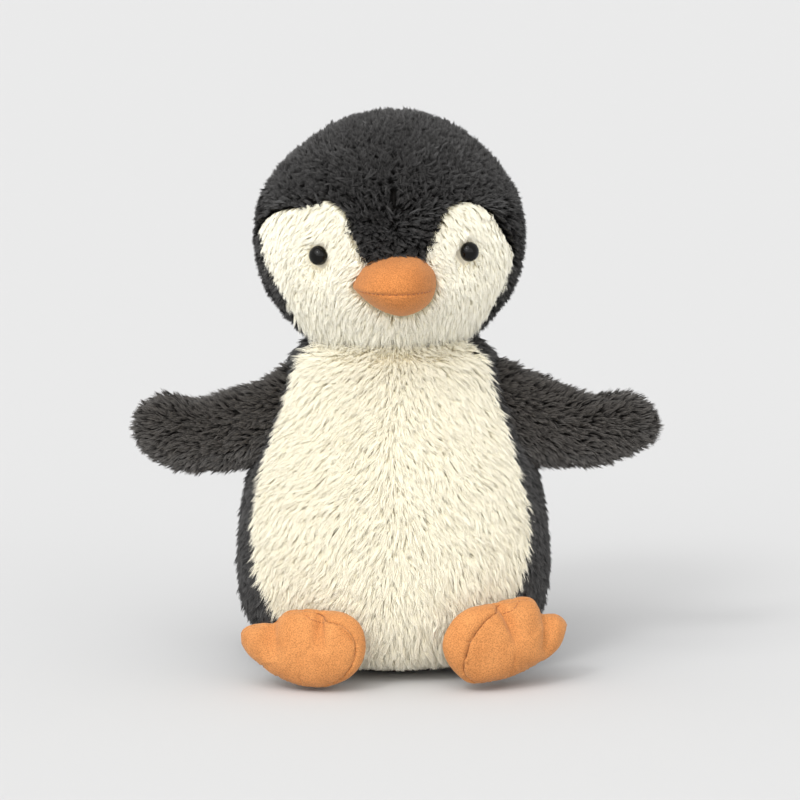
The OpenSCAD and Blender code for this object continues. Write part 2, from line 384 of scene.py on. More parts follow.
def thread_material(name, colour):
    """Twisted sewing thread."""
    p = Pattern(name, 0.6, Specular_IOR_Level=0.35, Sheen_Weight=0.2)
    twist = p.wave("DIAGONAL", 700.0, 1.0)
    return p.done(p.ramp(twist, [(0.1, shade(colour, 0.55)), (0.8, colour)]), twist, 0.0001, 0.6)


def plastic_material(name, colour, roughness, gloss=0.5):
    """Moulded plastic with a faint unevenness."""
    p = Pattern(name, roughness, Specular_IOR_Level=gloss)
    return p.done(p.ramp(p.noise(90, 2), [(0.3, shade(colour, 0.9)), (0.7, colour)]),
                  p.noise(260, 2), 0.00004, 0.2)


ORANGE = (0.62, 0.262, 0.086)
BEAK_ORANGE = (0.57, 0.215, 0.062)
# Pile colours by root, middle and tip: the roots carry painted shade for the gaps between strands, and the
# light grey tips of the black and wing pile are painted highlight.
white_hair = hair_material("white_pile", (0.86, 0.78, 0.54), (0.915, 0.865, 0.70), (0.955, 0.92, 0.80),
                           0.06, 0.8, 0.2)
# The face pile is a lighter copy of the cream pile: painted light that offsets the heavier shade on the face.
face_hair = hair_material("face_pile", (0.96, 0.85, 0.54), (0.98, 0.94, 0.79), (0.985, 0.965, 0.875),
                          0.04, 0.85, 0.15)
black_hair = hair_material("black_pile", (0.006, 0.0055, 0.005), (0.018, 0.0172, 0.0168),
                           (0.125, 0.121, 0.118), 0.65, 0.5, 0.4)
wing_hair = hair_material("wing_pile", (0.007, 0.006, 0.005), (0.034, 0.030, 0.027), (0.185, 0.170, 0.155),
                          0.65, 0.5, 0.4)
white_knit = knit_material("white_backing", (0.90, 0.82, 0.64))
black_knit = knit_material("black_backing", (0.012, 0.011, 0.010))
suede = suede_material("suede", ORANGE)
beak_suede = suede_material("beak_suede", BEAK_ORANGE)
dark_thread = thread_material("orange_thread", (0.40, 0.13, 0.03))
cream_thread = thread_material("cream_thread", (0.75, 0.70, 0.58))
black_thread = thread_material("black_thread", (0.03, 0.027, 0.025))
fibre = fibre_material("filling", (0.93, 0.93, 0.91))
black_cloth = weave_material("base_cloth", (0.03, 0.028, 0.026), 0.6 * MM)
pouch_cloth = weave_material("pouch_cloth", (0.78, 0.75, 0.68), 0.5 * MM)
label_cloth = weave_material("label_satin", (0.88, 0.86, 0.80), 0.12 * MM)
eye_plastic = plastic_material("eye_plastic", (0.003, 0.0025, 0.002), 0.07, gloss=0.2)
washer_plastic = plastic_material("washer_plastic", (0.80, 0.80, 0.78), 0.5)
pellet_plastic = plastic_material("pellet_plastic", (0.80, 0.82, 0.84), 0.4)


def dress(obj, material):
    obj.data.materials.clear()
    obj.data.materials.append(material)
    return obj


# ---- Pieces whose place is baked into their mesh ----


def bend_with(obj, part):
    """Bakes a piece's place into its mesh; the part named changes nothing."""
    if part == "torso":
        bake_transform(obj)
    elif part == "head":
        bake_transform(obj)
    else:
        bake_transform(obj)
    return obj


# ---- Feet: stuffed suede pouches ----

# Each foot's outline seen from its sole: distance outward and height, in mm. The two aren't quite alike.
# dents: from, to, depth as a share of the thickness, half width. seam: by angle round the middle in degrees,
# how far out the seam between sole and upper runs, as a share of the outline
FEET = {
    -1: dict(
        outline=[[28.3, 17.4], [28.9, 20.4], [28.5, 22.6], [26.6, 24.4], [23.8, 25.4], [19.9, 26.2],
                 [15.2, 26.9], [12.8, 29.2], [9.7, 31.7], [4.6, 32.9], [-1.3, 33.3], [-6.8, 32.9],
                 [-13.2, 32.2], [-18.2, 30], [-21.2, 26.7], [-22.8, 21.9], [-22.8, 16.2], [-20.3, 10.3],
                 [-15.2, 5.5], [-8, 2.2], [-1.2, 1.4], [6.1, 2.4], [14.1, 5.4], [20.6, 9.4], [25.8, 13.6]],
        middle=(1.0, 16.5),
        dents=[((15.0, 29.0), (12.6, 17.0), 0.66, 2.6), ((-5.4, 30.8), (-7.0, 20.5), 0.58, 2.4),
               ((0.4, 31.2), (-6.0, 28.4), 0.25, 1.0)],
        seam=[(0, 0.97), (70, 0.97), (100, 0.96), (114, 0.88), (128, 0.80), (138, 0.82), (150, 0.86),
              (165, 0.90), (185, 0.91), (205, 0.93), (225, 0.96), (360, 0.97)],
        stitch=((0.4, 31.2), (-6.0, 28.4)), at=(34.0, -66.0, -0.1), yaw=17, lean=-3),
    1: dict(
        outline=[[37.8, 21.3], [35, 15.7], [28.4, 11.0], [17.7, 6.4], [6.6, 3.8], [-4.5, 3.6], [-9.6, 6.3],
                 [-15.1, 12.4], [-17.4, 18.5], [-16.7, 23.7], [-14.2, 27.6], [-11, 31], [-5.5, 33.8],
                 [0, 34.9], [6.9, 35.8], [13, 36.4], [18.5, 36.6], [22.7, 35.6], [25.1, 32.8], [27.2, 29.4],
                 [29.8, 28.6], [33, 28.5], [36.3, 26.8], [38.3, 24.2]],
        middle=(8.0, 18.0),
        dents=[((27.8, 30.6), (24.4, 17.0), 0.66, 2.6), ((6.6, 33.6), (10.0, 22.5), 0.58, 2.4),
               ((15.8, 36.0), (7.1, 31.1), 0.25, 1.0)],
        seam=[(0, 0.97), (70, 0.97), (88, 0.96), (100, 0.86), (115, 0.80), (133, 0.74), (151, 0.70),
              (178, 0.74), (196, 0.88), (208, 0.95), (230, 0.97), (360, 0.97)],
        stitch=((15.8, 35.6), (7.6, 31.2)), at=(36.5, -66.0, -0.3), yaw=28, lean=-3),
}


def polar_outline(points, middle, angles):
    """Radius at each angle of a curve through the points."""
    curve = smooth(points, 8, closed=True) - middle
    a = np.arctan2(curve[:, 1], curve[:, 0])
    order = np.argsort(a)
    a, r = a[order], np.hypot(curve[:, 0], curve[:, 1])[order]
    return np.interp(angles, a, r, period=2 * math.pi)


def distance_to_line(p, a, b):
    a, b = np.array(a, float), np.array(b, float)
    t = np.clip(((p - a) @ (b - a)) / ((b - a) @ (b - a)), 0, 1)
    return np.linalg.norm(p - (a + t[:, None] * (b - a)), axis=1), t


def pouch_loops(foot, around, front, back):
    """Loops of a closed pouch, from the middle of its front over seam and rim to the middle of its back.

    Returns points (across, out of the back, up) in mm, which loop is the seam's, and how many there are.
    """
    middle = np.array(foot["middle"])
    angles = full_turn(around)
    radius = polar_outline(foot["outline"], middle, angles)
    seam = smooth(foot["seam"], 6)
    edge = np.interp(np.degrees(angles), seam[:, 0], seam[:, 1])
    inner = [edge * math.sin(t * math.pi / 2) for t in np.linspace(0, 1, 16)[1:]]
    outer = [edge + (1 - edge) * math.sin(t * math.pi / 2) for t in np.linspace(0, 1, 5)[1:]]
    behind = [np.full(around, math.sin(t * math.pi / 2)) for t in np.linspace(1, 0, 15)[1:-1]]
    loops = []
    for share, face in [(k, -1) for k in inner + outer] + [(k, 1) for k in behind]:
        flat = middle + (share * radius)[:, None] * np.stack([np.cos(angles), np.sin(angles)], 1)
        depth = (front if face < 0 else back) * np.maximum(1 - share**2.8, 0) ** 0.52
        dent = np.zeros(around)
        for a, b, deep, wide in foot["dents"]:
            d, t = distance_to_line(flat, a, b)
            dent = np.maximum(dent, deep * np.exp(-(d / wide) ** 2) * (1 - 0.6 * t))
        loops.append(np.stack([flat[:, 0], face * depth * (1 - dent), flat[:, 1]], 1))
    first, last = [[middle[0], -front, middle[1]]], [[middle[0], back, middle[1]]]
    return np.concatenate([first, *loops, last]), len(inner), len(loops)


def loop_faces(around, loops, closed=True):
    """Faces between loops of points: a fan at the first point, quads, and a fan at the last if closed."""
    faces = [(0, 1 + c, 1 + (c + 1) % around) for c in range(around)]
    for r in range(loops - 1):
        a, b = 1 + r * around, 1 + (r + 1) * around
        faces += [(a + c, b + c, b + (c + 1) % around, a + (c + 1) % around) for c in range(around)]
    if closed:
        a, last = 1 + (loops - 1) * around, 1 + loops * around
        faces += [(last, a + (c + 1) % around, a + c) for c in range(around)]
    return faces


def fill_cloth(obj, pinned, pressure, cap, slack):
    """Swells a closed pouch by cloth pressure about its pinned seam. No point moves further than cap."""
    scale = 10.0
    start = points_of(obj)
    set_points(obj, start * scale)
    group = obj.vertex_groups.new(name="seam")
    group.add([int(i) for i in pinned], 1.0, "REPLACE")
    cloth = obj.modifiers.new("fill", "CLOTH")
    s = cloth.settings
    s.quality = 6
    s.mass = 0.2
    s.tension_stiffness = s.compression_stiffness = 18
    s.shear_stiffness = 8
    s.bending_stiffness = 0.3
    s.use_pressure = True
    s.uniform_pressure_force = pressure
    s.shrink_min = -slack
    s.vertex_group_mass = "seam"
    s.effector_weights.gravity = 0
    for number in range(1, 21):
        bpy.context.scene.frame_set(number)
    apply_modifiers(obj)
    bpy.context.scene.frame_set(1)
    move = points_of(obj) / scale - start
    far = np.linalg.norm(move, axis=1, keepdims=True)
    set_points(obj, start + move * np.minimum(1, cap / np.maximum(far, 1e-9)))
    obj.vertex_groups.clear()


def place_foot(points, side):
    """From a foot's own frame in mm to its place in the row frame."""
    foot = FEET[side]
    m = (Matrix.Translation(Vector(foot["at"]) * MM)
         @ Matrix.Rotation(math.radians(foot["yaw"]), 4, "Z")
         @ Matrix.Rotation(math.radians(foot["lean"]), 4, "X"))
    r, t = np.array(m)[:3, :3], np.array(m)[:3, 3]
    return ((np.asarray(points, float) * MM) @ r.T + t) * np.array([side, 1, 1])


def stitch_row(name, path, out, length, pitch, radius, lift):
    """Stitches: short arched threads laid end to end along a path, standing on the surface."""
    seg = np.linalg.norm(np.diff(path, axis=0), axis=1)
    at = np.concatenate([[0], np.cumsum(seg)])
    count = max(1, int((at[-1] - length) / pitch) + 1)
    lead = (at[-1] - (count - 1) * pitch - length) / 2
    points, faces = [], []
    rings, sides = 7, 8
    for k in range(count):
        base = len(points)
        t = np.linspace(0, 1, rings)
        s = lead + k * pitch + t * length
        centre = np.stack([np.interp(s, at, path[:, i]) for i in range(3)], 1)
        normal = unit(np.stack([np.interp(s, at, out[:, i]) for i in range(3)], 1))
        centre = centre + normal * (lift * np.sin(t * math.pi) ** 0.6 - 0.4 * radius)[:, None]
        along = unit(np.gradient(centre, axis=0))
        across = unit(np.cross(along, normal))
        up = np.cross(across, along)
        for r in range(rings):
            thick = radius * (0.55 + 0.45 * math.sin(t[r] * math.pi))
            for a in full_turn(sides):
                points.append(centre[r] + thick * (math.cos(a) * across[r] + math.sin(a) * up[r]))
        for r in range(rings - 1):
            for c in range(sides):
                a, b = base + r * sides, base + (r + 1) * sides
                faces.append((a + c, a + (c + 1) % sides, b + (c + 1) % sides, b + c))
        faces.append(tuple(base + c for c in reversed(range(sides))))
        faces.append(tuple(base + (rings - 1) * sides + c for c in range(sides)))
    obj = mesh_object(name, points, faces)
    join_points(obj, 1e-7)
    return obj


def surface_path(obj, starts, direction):
    """Where rays from the starts hit an object: points and normals."""
    tree = tree_of(obj)
    path, out = [], []
    for s in starts:
        hit, normal, _, _ = tree.ray_cast(Vector(s), Vector(direction))
        if hit is not None:
            path.append(hit)
            out.append(normal)
    return np.array(path), np.array(out)


AROUND = 132
foot_parts = {}
for side_name, side in SIDES:
    foot = FEET[side]
    flat, seam_loop, loops = pouch_loops(foot, AROUND, 10.5, 8.0)
    faces = loop_faces(AROUND, loops)
    if side < 0:
        faces = [tuple(reversed(f)) for f in faces]
    pouch = mesh_object(f"foot_pouch_{side_name}", place_foot(flat, side), faces)
    first = 1 + (seam_loop - 1) * AROUND
    on_seam = np.arange(first, first + AROUND)
    fill_cloth(pouch, on_seam, 4.0, 1.8 * MM, 0.03)
    points, normal = points_of(pouch), points_of(pouch, "normal")
    turns = np.arange(AROUND)
    pucker = 0.16 * MM * np.sin(turns * 2 * math.pi / 3.3)
    points[on_seam] -= normal[on_seam] * 0.5 * MM
    for step, share in ((-1, 0.7), (1, 0.7), (-2, 0.35), (2, 0.35)):
        near = on_seam + step * AROUND
        points[near] += normal[near] * (share * (pucker - 0.12 * MM))[:, None]
    points[:, 2] = np.maximum(points[:, 2], FLOOR_CLEAR)
    set_points(pouch, points)
    half = AROUND * seam_loop
    sole = mesh_object(f"sole_{side_name}", points, faces[:half])
    upper = mesh_object(f"upper_{side_name}", points, faces[half:])
    inner = mesh_object(f"foot_stuffing_{side_name}", points, faces)
    shrink = inner.modifiers.new("inset", "DISPLACE")
    shrink.strength = -1.5 * MM
    shrink.mid_level = 0
    apply_modifiers(inner)
    for piece in (sole, upper):
        thicken(piece, 1.2 * MM)
    for piece, look, slot, node in (
            (sole, suede, "suede", "foot_sole"), (upper, suede, "suede", "foot_upper"),
            (inner, fibre, "filling", "foot_filling")):
        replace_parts(dress(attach(piece, f"foot_{side_name}"), look), f"{node}_{side_name}")
    foot_parts[side] = (sole, upper)
    front = place_foot([[0, 1.0, 0]], side)[0] - place_foot([[0, 0, 0]], side)[0]
    a, b = np.array(foot["stitch"])
    line = [(x, -20, z) for x, z in (a + (b - a) * t for t in np.linspace(0, 1, 14))]
    path, out = surface_path(sole, place_foot(line, side), unit(front))
    stitches = stitch_row(f"toe_stitches_{side_name}", path, out, 1.2 * MM, 1.7 * MM, 0.20 * MM, 0.10 * MM)
    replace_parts(dress(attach(stitches, f"foot_{side_name}"), dark_thread),
                f"toe_stitching_{side_name}")
    bpy.data.objects.remove(pouch)

# ---- Beak: two suede panels over filling, with a row of stitches along their seam ----

BEAK_C = np.array([0.4, 0.0, 162.6]) * MM
BEAK = [
    [16.9, 1.6], [16.5, 4.4], [15.5, 6.9], [13.5, 9.3], [11.5, 11.3], [8.3, 12.5], [4.3, 13.0], [0.3, 13.0],
    [-3.9, 12.2], [-8.2, 10.7], [-12.3, 7.9], [-14.9, 4.0], [-16.8, -0.4], [-15.5, -2.6], [-13.1, -4.9],
    [-10.5, -7.3], [-7.3, -9.4], [-4.1, -11.0], [-0.5, -12.2], [3.1, -12.7], [6.3, -12.2], [9.5, -11.0],
    [12.3, -9.3], [14.7, -6.9], [16.1, -4.0], [16.8, -1.2]]
BEAK_BASE_Y = -46.0
BEAK_TIP_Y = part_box("beak_upper")[0].y / MM
BEAK_SEAM = -1.4


def beak_points(around, rings, inset):
    """Loops from the beak's tip back to its root in the face, in the row frame."""
    angles = full_turn(around)
    radius = polar_outline(BEAK, np.zeros(2), angles) - inset
    loops = []
    for s in np.linspace(0, 1, rings + 1)[1:]:
        k = math.sin(s * math.pi / 2) ** 0.92
        depth = (1 - k**2.4) ** 0.60
        y = BEAK_BASE_Y + (BEAK_TIP_Y + inset - BEAK_BASE_Y) * depth
        x, z = k * radius * np.cos(angles), k * radius * np.sin(angles)
        groove = 0.55 * np.exp(-((z - BEAK_SEAM) / 0.7) ** 2) * min(1, (1 - k) * 8)
        loops.append(np.stack([x, np.full(around, y) + groove, z], 1))
    tip = np.array([[0, BEAK_TIP_Y + inset + 0.5, 0]])
    return np.concatenate([tip, *loops]) * MM + BEAK_C


beak_skin = beak_points(160, 44, 0)
beak_quads = loop_faces(160, 44, closed=False)
seam_z = BEAK_C[2] + BEAK_SEAM * MM
middle_z = np.array([np.mean(beak_skin[list(f), 2]) for f in beak_quads])
for name, chosen, node in (
        ("beak_top", middle_z >= seam_z, "beak_upper"), ("beak_bottom", middle_z < seam_z, "beak_lower")):
    panel = mesh_object(name, beak_skin, pick(beak_quads, chosen))
    thicken(panel, 1.1 * MM)
    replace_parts(dress(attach(panel, "head"), beak_suede), node)
stuffing = beak_points(80, 22, 1.6)
cap_face = tuple(range(1 + 21 * 80, 1 + 22 * 80))
core = mesh_object("beak_stuffing", stuffing, loop_faces(80, 22, closed=False) + [cap_face])
join_points(core)
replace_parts(dress(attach(core, "head"), fibre), "beak_filling")
whole = mesh_object("beak_whole", beak_skin, beak_quads)
starts = [(x * MM + BEAK_C[0], -0.1, seam_z) for x in np.linspace(-13, 14.6, 60)]
path, out = surface_path(whole, starts, (0, 1, 0))
bpy.data.objects.remove(whole)
row = stitch_row("beak_stitches", path, out, 1.5 * MM, 2.5 * MM, 0.26 * MM, 0.18 * MM)
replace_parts(dress(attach(row, "head"), dark_thread), "beak_stitching")

# ---- Eyes ----

EYE_R, EYE_RISE, EYE_POST = 4.0 * MM, 3.4 * MM, 14 * MM
# Where each eye sits from its CAD node, in mm, and how far its base lies below that node's top
EYE_SHIFT = {1: (1.8, 0, 1.0), -1: (-1.1, 0, -0.6)}
EYE_DEEP = 2.4 * MM
eyes = {}
for side_name, side in SIDES:
    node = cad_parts[f"eye_{side_name}"]
    co = points_of(node) - HEAD_C
    reach = np.linalg.norm(co, axis=1).max()
    centre = unit(co[np.argmax(np.linalg.norm(co, axis=1))] + np.array(EYE_SHIFT[side]) * MM)
    eyes[side] = centre
    dome = [(EYE_R * math.cos(a), EYE_RISE * math.sin(a)) for a in np.linspace(0, math.pi / 2, 14)]
    shape = [(0, -EYE_POST), (1.5 * MM, -EYE_POST), (1.5 * MM, -0.8 * MM), (EYE_R, -0.8 * MM)] + dome
    axis = Vector(centre)
    turn = Vector((0, 0, 1)).rotation_difference(axis).to_matrix()
    base = Vector(HEAD_C) + axis * (reach - EYE_DEEP)
    cols = 64
    points = [base + turn @ Vector((r * math.cos(a), r * math.sin(a), h))
              for r, h in shape for a in full_turn(cols)]
    dome_obj = mesh_object(f"safety_eye_{side_name}", points, grid_faces(len(shape), cols))
    join_points(dome_obj, 1e-6)
    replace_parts(dress(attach(dome_obj, "head"), eye_plastic), f"eye_{side_name}")

# ---- Backing cloth of head and torso ----

def head_skin_points(d):
    return HEAD_C + HEAD_SHIFT * (1 - np.clip(2 * d[:, 2:] - 1, 0, 1)) + d * (head_radius(d) - PILE)[:, None]


HEAD_COLS = 220
# Elevation of the head's lowest rows, in degrees
HEAD_FOOT = -56.0
elevations = np.radians(np.concatenate([np.arange(HEAD_FOOT, 89, 1.7), [90]]))
turns = full_turn(HEAD_COLS)
head_dirs = np.array([
    (math.cos(e) * math.cos(t), math.cos(e) * math.sin(t), math.sin(e)) for e in elevations for t in turns])
head_grid = head_skin_points(head_dirs)
heights = np.concatenate([np.linspace(0, 3, 4)[:-1] * MM, np.linspace(3 * MM, NECK_Z, 88)])
torso_grid = []
for z in heights:
    slope = torso_slope(max(z, 0.7 * MM))
    n = np.array([1, -slope]) / math.hypot(1, slope)
    r, h = torso_radius(z) - PILE * n[0], max(z - PILE * n[1], FLOOR_CLEAR + 0.1 * MM)
    torso_grid += [(r * math.cos(t), r * math.sin(t), h) for t in turns]
torso_grid = np.array(torso_grid)


# Each panel: the part whose grid it lies on, where it lies, and whether it lies within or outside that
PANELS = (
    ("face", "head", face_side, True, white_knit, "white_pile"),
    ("crown", "head", face_side, False, black_knit, "black_pile"),
    ("belly", "torso", in_belly, True, white_knit, "white_pile"),
    ("back", "torso", in_belly, False, black_knit, "black_pile"))
GRIDS = {"head": (head_grid, len(elevations)), "torso": (torso_grid, len(heights))}
for side_name, side in SIDES:
    for name, part, region, within, cloth, slot in PANELS:
        grid, rows = GRIDS[part]
        faces = grid_faces(rows, HEAD_COLS)
        middles = grid[np.array(faces)].mean(1)
        chosen = (middles[:, 0] * side > 0) & (region(middles) == within)
        panel = mesh_object(f"{name}_backing_{side_name}", grid, pick(faces, chosen))
        join_points(panel, 1e-6)
        thicken(panel, BACKING)
        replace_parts(dress(bend_with(panel, part), cloth), f"{name}_{side_name}")

# The head's filling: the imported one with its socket, drawn in to lie inside the cloth
filling = points_of(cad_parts["head_filling"]) - HEAD_C
filling_way = unit(filling)
limit = head_radius(filling_way) - PILE - BACKING - 0.6 * MM
filling_reach = np.minimum(np.linalg.norm(filling, axis=1), limit)
filling = filling_way * filling_reach[:, None] + HEAD_C + HEAD_SHIFT * 0.5
filling_faces = [tuple(f.vertices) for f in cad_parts["head_filling"].data.polygons]
core = mesh_object("head_stuffing", filling, filling_faces)
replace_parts(dress(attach(core, "head"), fibre), "head_filling")

# ---- Wings: a lofted stuffed shape ----

# Where the wings start and end in the table below, and how far out each one's tip really is, in mm
WING_ROOT, WING_END = 40, 109
WING_REACH = {1: 109.0, -1: 106.8}
# Each station of a wing: distance from the middle of the body, top, bottom, half thickness, in mm
WING = [[40, 127, 96, 8.5], [46, 122.5, 88, 9.2], [51, 119.2, 84.5, 9.6], [57, 116.8, 82.4, 9.8],
        [64, 114.6, 80.5, 9.8], [71, 112.3, 79.3, 9.8], [78, 110.4, 79, 9.8], [84, 110.3, 79.3, 9.8],
        [90, 111.2, 80.8, 9.6], [96, 111.8, 83.2, 9.2], [100, 111.2, 85.4, 8.6], [103.6, 109.4, 88, 7.6],
        [106.4, 106.8, 91.2, 6], [108.2, 103.6, 94.8, 4], [WING_END, 100.4, 98, 1.4]]
WING_Y = -8.0 * MM
wing_curve = smooth(WING, 5)
# How much higher each wing's top and bottom run than that, by distance from the middle of the body, in mm
WING_LIFT = {
    1: np.array([[WING_ROOT, 2, 0], [48, 4, 0], [58, 4.6, 1], [66, 3.2, 2.6], [75, 2.4, 4], [92, 1.2, 4.6],
                 [101, 0.6, 3.6], [WING_END, 0, 0]]),
    -1: np.array([[WING_ROOT, 0, 0], [62, 0, 1.2], [76, 0.4, 2.4], [92, 0, 0.6], [WING_END, 0, 0]]),
}


def wing_section(side, x):
    """Top, bottom and half thickness of a wing at a distance out, in metres."""
    far = x / MM + (WING_END - WING_REACH[side]) * np.clip((x / MM - 60) / 40, 0, 1)
    top, bottom, thick = [np.interp(far, wing_curve[:, 0], wing_curve[:, i]) for i in (1, 2, 3)]
    lift = WING_LIFT[side]
    top = top + np.interp(far, lift[:, 0], lift[:, 1])
    bottom = bottom + np.interp(far, lift[:, 0], lift[:, 2])
    return top * MM, bottom * MM, thick * MM


def wing_surface(side, share, angle, inset):
    """Points of a wing over its length and round its section, before it is mirrored."""
    reach = WING_REACH[side] * MM - inset
    x = WING_ROOT * MM + share * (reach - WING_ROOT * MM)
    top, bottom, thick = wing_section(side, x + inset * np.clip((share - 0.75) * 4, 0, 1))
    half = np.maximum((top - bottom) / 2 - inset, 0.3 * MM)
    thick = np.maximum(thick - inset, 0.3 * MM)
    middle = (top + bottom) / 2
    c, s = np.cos(angle), np.sin(angle)
    y = WING_Y - thick * np.sign(c) * np.abs(c) ** 0.85
    z = middle + half * np.sign(s) * np.abs(s) ** 0.9
    return np.stack([x, y, z], -1)


WING_ROWS, WING_COLS = 60, 64
wing_share = 1 - (1 - np.linspace(0, 1, WING_ROWS)) ** 1.35
wing_angle = full_turn(WING_COLS)
S, A = np.meshgrid(wing_share, wing_angle, indexing="ij")
wing_faces = grid_faces(WING_ROWS, WING_COLS)
wing_ends = [
    tuple(reversed(range(WING_COLS))), tuple(range((WING_ROWS - 1) * WING_COLS, WING_ROWS * WING_COLS))]
wing_trees = {}
for side_name, side in SIDES:
    grid = wing_surface(side, S.ravel(), A.ravel(), PILE) * np.array([side, 1, 1])
    faces = wing_faces if side > 0 else [tuple(reversed(f)) for f in wing_faces]
    ends = wing_ends if side > 0 else [tuple(reversed(f)) for f in wing_ends]
    whole = mesh_object(f"wing_whole_{side_name}", grid, faces + ends)
    wing_trees[side] = tree_of(whole)
    bpy.data.objects.remove(whole)
    middles = grid[np.array(faces)].mean(1)
    for half, front in (("front", True), ("back", False)):
        chosen = (middles[:, 1] < WING_Y) == front
        panel = mesh_object(f"wing_{half}_backing_{side_name}", grid, pick(faces, chosen))
        thicken(panel, BACKING)
        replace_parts(dress(bend_with(panel, f"wing_{side_name}"), black_knit),
                    f"wing_{half}_{side_name}")
    inner = wing_surface(side, S.ravel(), A.ravel(), PILE + BACKING + 0.6 * MM) * np.array([side, 1, 1])
    core = mesh_object(f"wing_stuffing_{side_name}", inner, faces + ends)
    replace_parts(dress(bend_with(core, f"wing_{side_name}"), fibre), f"wing_filling_{side_name}")

# ---- Pile ----

# A strand is a bent spindle: its root, a ring of three points, its tip
STRAND = np.array([[0, 2, 1], [0, 3, 2], [0, 1, 3], [1, 2, 4], [2, 3, 4], [3, 1, 4]])
ROOT, TIP, STRAND_POINTS = 0, 4, 5
RING_AT = 0.42
STRAND_V = np.array([0, RING_AT, RING_AT, RING_AT, 1.0])
STRAND_U = np.array([0.5, 0, 0.5, 1, 0.5])


def strands(root, normal, flow, length, width, lean, lock, seed, gather, curl=0.06, mess=0.15):
    """Pointed strands that gather in locks of so many. Returns points by strand, and each strand's tone.

    lean is the angle from the normal and mess how much the lie varies, in radians. curl is the share of its
    length that a strand bends aside, and gather the share of the way that its tip goes to its lock's.
    """
    r = np.random.default_rng(seed)
    n = len(root)
    heads = r.choice(n, max(1, n // lock), replace=False)
    tree = KDTree(len(heads))
    for k, i in enumerate(heads):
        tree.insert(root[i], k)
    tree.balance()
    mine = np.array([tree.find(p)[1] for p in root])
    side = np.cross(normal, flow)
    yaw = r.normal(0, mess, len(heads))[mine] + r.normal(0, 0.5 * mess, n)
    tilt = lean + r.normal(0, 0.10, len(heads))[mine] + r.normal(0, 0.05, n)
    tilt = np.clip(tilt, 0.2, 1.45)
    size = length * r.uniform(0.78, 1.16, len(heads))[mine] * r.uniform(0.85, 1.08, n)
    way = flow * np.cos(yaw)[:, None] + side * np.sin(yaw)[:, None]
    axis = normal * np.cos(tilt)[:, None] + way * np.sin(tilt)[:, None]
    tip = root + axis * size[:, None]
    lead = heads[mine]
    tip += gather * (tip[lead] + 0.3 * (root - root[lead]) - tip)
    bend = (r.normal(0, curl, len(heads))[mine] + r.normal(0, 0.5 * curl, n))[:, None] * size[:, None]
    middle = root + RING_AT * (tip - root) + normal * (0.13 * size)[:, None] + side * bend
    along = unit(tip - root)
    up = unit(normal - along * np.sum(normal * along, 1, keepdims=True))
    across = np.cross(up, along)
    w = (width * r.uniform(0.8, 1.2, n))[:, None]
    ring = [across * 0.5 * w - up * 0.17 * w, up * 0.33 * w, -across * 0.5 * w - up * 0.17 * w]
    points = [root - normal * 0.5 * MM] + [middle + o for o in ring] + [tip]
    tone = np.clip(0.62 * r.random(len(heads))[mine] + 0.38 * r.random(n), 0, 1)
    return np.stack(points, 1), tone


def strand_mesh(name, points, tone, material):
    n = len(points)
    mesh = bpy.data.meshes.new(name)
    mesh.vertices.add(n * STRAND_POINTS)
    mesh.vertices.foreach_set("co", points.astype(np.float32).ravel())
    tri = (STRAND[None] + STRAND_POINTS * np.arange(n)[:, None, None]).reshape(-1, 3)
    mesh.loops.add(tri.size)
    mesh.loops.foreach_set("vertex_index", tri.astype(np.int32).ravel())
    mesh.polygons.add(len(tri))
    mesh.polygons.foreach_set("loop_start", np.arange(0, tri.size, 3, dtype=np.int32))
    mesh.polygons.foreach_set("use_smooth", np.zeros(len(tri), bool))
    layer = mesh.uv_layers.new(name="OFBake")
    corner = STRAND.ravel()
    u = 0.01 + 0.96 * tone[:, None] + 0.015 * STRAND_U[corner][None]
    v = np.broadcast_to(0.02 + 0.96 * STRAND_V[corner][None], u.shape)
    layer.data.foreach_set("uv", np.stack([u, v], -1).astype(np.float32).ravel())
    mesh.update(calc_edges=True)
    mesh.validate()
    obj = add_object(name, mesh)
    dress(obj, material)
    return obj


CHUNK = 32500
HAIR = {
    "face": (face_hair, "white_pile"), "crown": (black_hair, "black_pile"),
    "belly": (white_hair, "white_pile"), "back": (black_hair, "black_pile"),
    "wing": (wing_hair, "black_pile")}


def pile(name, part, points, tone, kind):
    """Pieces of pile, each of no more strands than one piece may have."""
    material, slot = HAIR[kind]
    points = points.copy()
    points[..., 2] = np.maximum(points[..., 2], FLOOR_CLEAR)
    parts = max(1, math.ceil(len(points) / CHUNK))
    order = np.argsort(points[:, 0, 2])
    for k, some in enumerate(np.array_split(order, parts)):
        label = name if parts == 1 else f"{name}_{k + 1}"
        obj = strand_mesh(label, points[some], tone[some], material)
        bend_with(obj, part)


def tangent(way, normal):
    return unit(way - normal * np.sum(way * normal, 1, keepdims=True))


def turn_by(flow, normal, angle):
    side = np.cross(normal, flow)
    return flow * np.cos(angle)[:, None] + side * np.sin(angle)[:, None]


def near_axis(points, axis):
    """Distance of points from a line through the head's centre."""
    p = points - HEAD_C
    return np.linalg.norm(p - (p @ axis)[:, None] * axis, axis=1)


def in_beak(points, grow):
    p = (points - BEAK_C) / MM
    angle = np.arctan2(p[:, 2], p[:, 0])
    return (np.hypot(p[:, 0], p[:, 2]) < polar_outline(BEAK, np.zeros(2), angle) + grow) & (points[:, 1] < 0)


def blocked(points, trees, reach):
    """Which strands run into one of the meshes, or lie under it."""
    out = np.zeros(len(points), bool)
    root, tip = points[:, ROOT], points[:, TIP]
    for i in range(len(points)):
        a, b = Vector(root[i]), Vector(tip[i])
        step = b - a
        for tree in trees:
            if tree.ray_cast(a, step.normalized(), step.length + reach)[0] is not None:
                out[i] = True
                break
    return out


